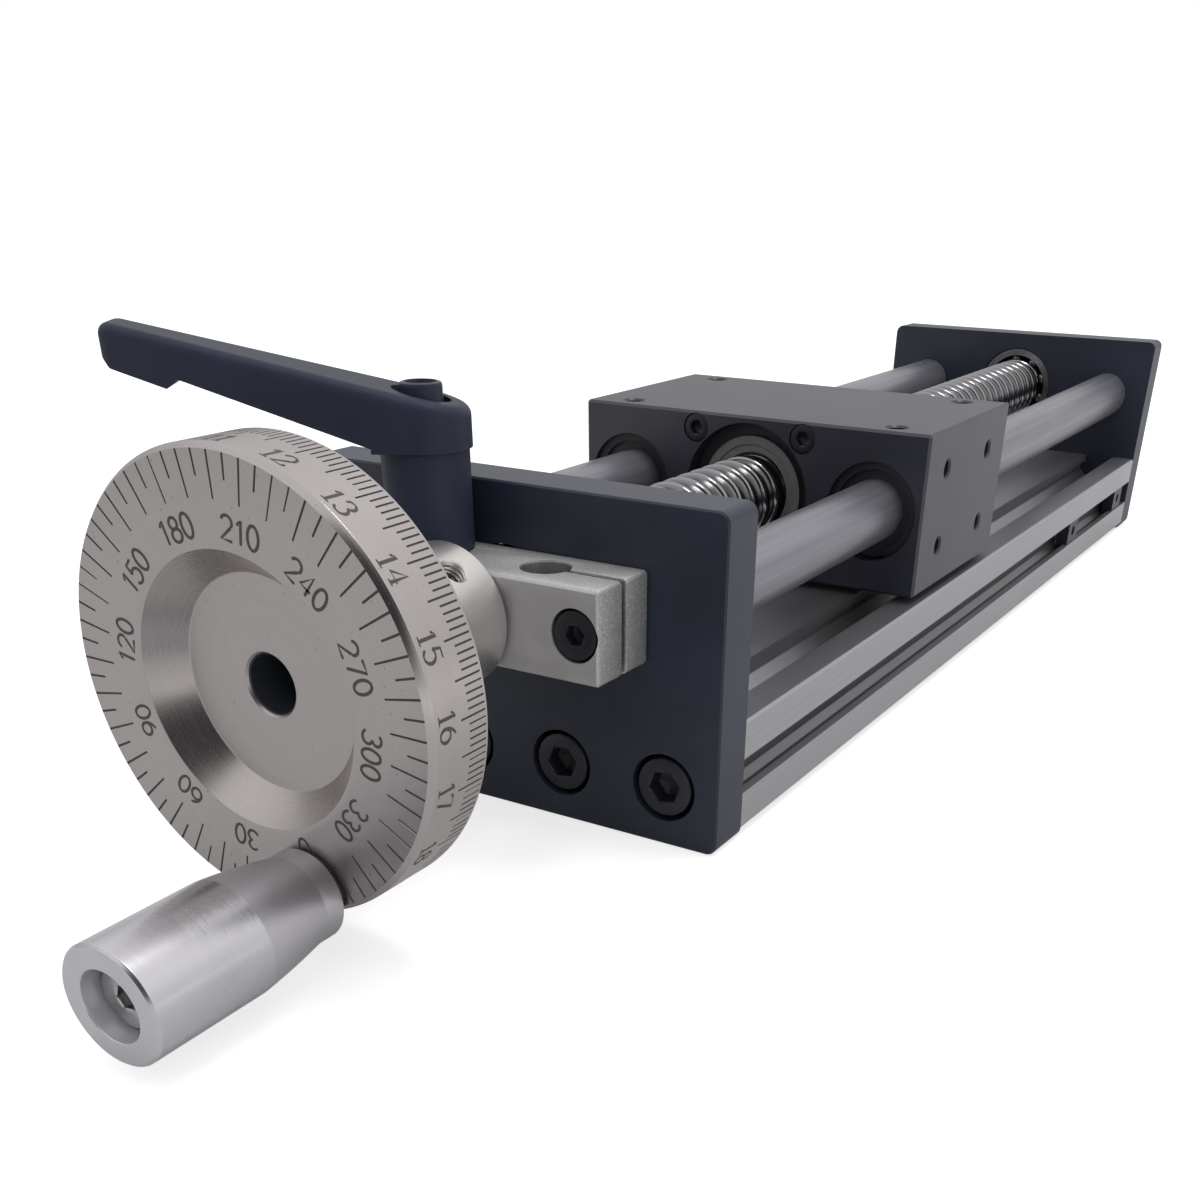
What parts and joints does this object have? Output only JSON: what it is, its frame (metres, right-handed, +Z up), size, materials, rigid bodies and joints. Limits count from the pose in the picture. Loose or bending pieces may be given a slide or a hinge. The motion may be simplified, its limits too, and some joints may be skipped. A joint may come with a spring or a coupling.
{
  "type": "ball screw linear stage",
  "caption": "Hand-driven linear stage: carriage on two round rods over a slotted extruded base, moved by a ball screw with a scaled handwheel and held by a shaft clamp with a lever.",
  "frame": {"origin": "underside of the front end plate, at the middle of its thickness and on the plane of the screw axis", "axes": "+X along the screw from the handwheel to the rear plate, +Y to the left seen from the handwheel, +Z up"},
  "size_m": [0.3708, 0.0872, 0.0768],
  "materials": {
    "clear_anodised_profile": "clear anodised extrusion, fine lines along its length",
    "black_anodised_plate": "matte black anodised",
    "black_anodised_carriage": "satin black anodised",
    "ground_rod": "hardened and ground",
    "ground_steel": "ground steel",
    "bearing_steel": "ground steel",
    "stud_steel": "dark steel",
    "slot_nut_steel": "black oxide steel",
    "black_oxide_screw": "black oxide",
    "spring_steel": "phosphated spring steel",
    "blasted_aluminium": "blasted and clear anodised",
    "satin_wheel": "satin turned, engraved marks",
    "turned_grip": "turned and polished",
    "coated_lever": "fine textured coating",
    "lever_button": "matte",
    "wiper_plastic": "matte"
  },
  "bodies": {
    "frame": {"base_extrusion": "clear_anodised_profile", "front_end_plate": "black_anodised_plate", "rear_end_plate": "black_anodised_plate", "guide_rod_left": "ground_rod", "guide_rod_right": "ground_rod", "front_plate_screws": "black_oxide_screw", "rear_plate_screws": "black_oxide_screw", "front_bearing_outer_ring": "bearing_steel", "rear_bearing_outer_ring": "bearing_steel", "front_bearing_balls": "bearing_steel", "rear_bearing_balls": "bearing_steel", "shaft_clamp_block": "blasted_aluminium", "clamp_block_screw": "black_oxide_screw", "slot_nuts": "slot_nut_steel"},
    "carriage": {"carriage_block": "black_anodised_carriage", "front_left_bush": "bearing_steel", "front_right_bush": "bearing_steel", "rear_left_bush": "bearing_steel", "rear_right_bush": "bearing_steel", "bush_retaining_rings": "spring_steel", "ball_nut": "ground_steel", "front_nut_wiper": "wiper_plastic", "rear_nut_wiper": "wiper_plastic", "nut_screws": "black_oxide_screw"},
    "drive": {"ball_screw": "ground_steel", "front_bearing_inner_ring": "bearing_steel", "rear_bearing_inner_ring": "bearing_steel", "shaft_retaining_ring": "spring_steel", "handwheel": "satin_wheel", "hub_set_screws": "black_oxide_screw", "grip_pin": "ground_steel", "grip_washer": "spring_steel"},
    "grip": {"crank_grip": "turned_grip"},
    "stud": {"clamp_stud": "stud_steel", "lever_screw": "lever_button", "lever_spring": "spring_steel"},
    "lever": {"lever_arm": "coated_lever"}
  },
  "joints": [
    {"name": "screw_spin", "type": "hinge", "parent": "frame", "child": "drive", "pos_m": [0, 0, 0.0375], "axis": [1, 0, 0], "range_deg": [-9360, 5040]},
    {"name": "carriage_slide", "type": "slide", "parent": "frame", "child": "carriage", "axis": [1, 0, 0], "range_m": [-0.0705, 0.1305]},
    {"name": "grip_spin", "type": "hinge", "parent": "drive", "child": "grip", "pos_m": [-0.08, -0.00735, 0.011], "axis": [1, 0, 0], "continuous": true},
    {"name": "lever_turn", "type": "hinge", "parent": "frame", "child": "stud", "pos_m": [-0.0116, 0.0089, 0.05], "axis": [0, 0, 1], "range_deg": [-30, 60]},
    {"name": "lever_lift", "type": "slide", "parent": "stud", "child": "lever", "axis": [0, 0, 1], "range_m": [0, 0.003], "stiffness_N_per_m": 800, "springref_m": -0.002, "deforming": ["lever_spring"]}
  ],
  "couplings": [
    {"joint": "carriage_slide", "follows": "screw_spin", "m_per_rad": -0.00079577}
  ]
}
